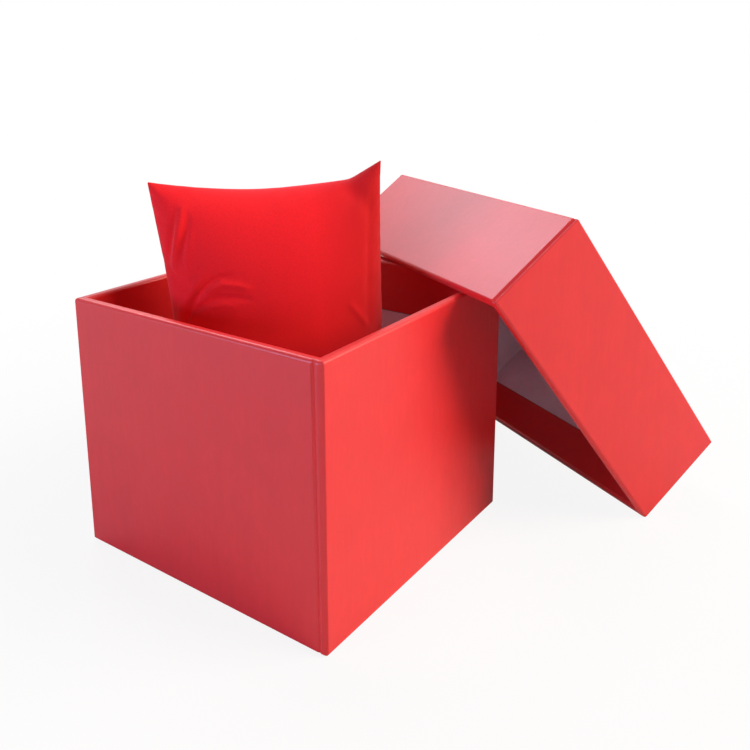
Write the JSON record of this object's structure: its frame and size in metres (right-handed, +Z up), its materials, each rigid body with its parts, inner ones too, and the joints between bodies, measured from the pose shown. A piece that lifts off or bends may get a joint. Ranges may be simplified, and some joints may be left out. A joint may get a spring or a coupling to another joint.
{
  "type": "gift box",
  "caption": "Square rigid paperboard box: open base, cushion standing upright in it, and a shallow lift-off lid leaning against its side.",
  "frame": {"origin": "middle of the base's underside, on the surface that the box stands on", "axes": "+Z up out of the open base; -Y and +X point out of the two walls that meet at the near corner of the picture; the lid leans on the corner of the +X and +Y walls"},
  "size_m": [0.1297, 0.1602, 0.0993],
  "materials": {
    "greyboard": "bare greyboard",
    "gummed_paper": "gummed kraft paper",
    "red_paper": "red coated paper with a soft sheen",
    "pale_paper": "pale uncoated paper",
    "red_velvet": "short-pile velvet",
    "wadding": "polyester wadding"
  },
  "bodies": {
    "base": {"base_board": "greyboard", "base_corner_stay_1": "gummed_paper", "base_corner_stay_2": "gummed_paper", "base_corner_stay_3": "gummed_paper", "base_corner_stay_4": "gummed_paper", "base_wrap": "red_paper", "base_foot_sheet": "red_paper", "base_lining": "pale_paper"},
    "lid": {"lid_board": "greyboard", "lid_corner_stay_1": "gummed_paper", "lid_corner_stay_2": "gummed_paper", "lid_corner_stay_3": "gummed_paper", "lid_corner_stay_4": "gummed_paper", "lid_wrap": "red_paper", "lid_top_sheet": "red_paper", "lid_lining": "pale_paper"},
    "cushion": {"cushion_front_panel": "red_velvet", "cushion_back_panel": "red_velvet", "cushion_filling": "wadding"}
  },
  "joints": [
    {"name": "lid_lift", "type": "slide", "parent": "base", "child": "lid", "axis": [0.3796, 0.6992, 0.6058], "range_m": [0, 0.06]},
    {"name": "cushion_lift", "type": "slide", "parent": "base", "child": "cushion", "axis": [0, 0, 1], "range_m": [0, 0.075]}
  ]
}
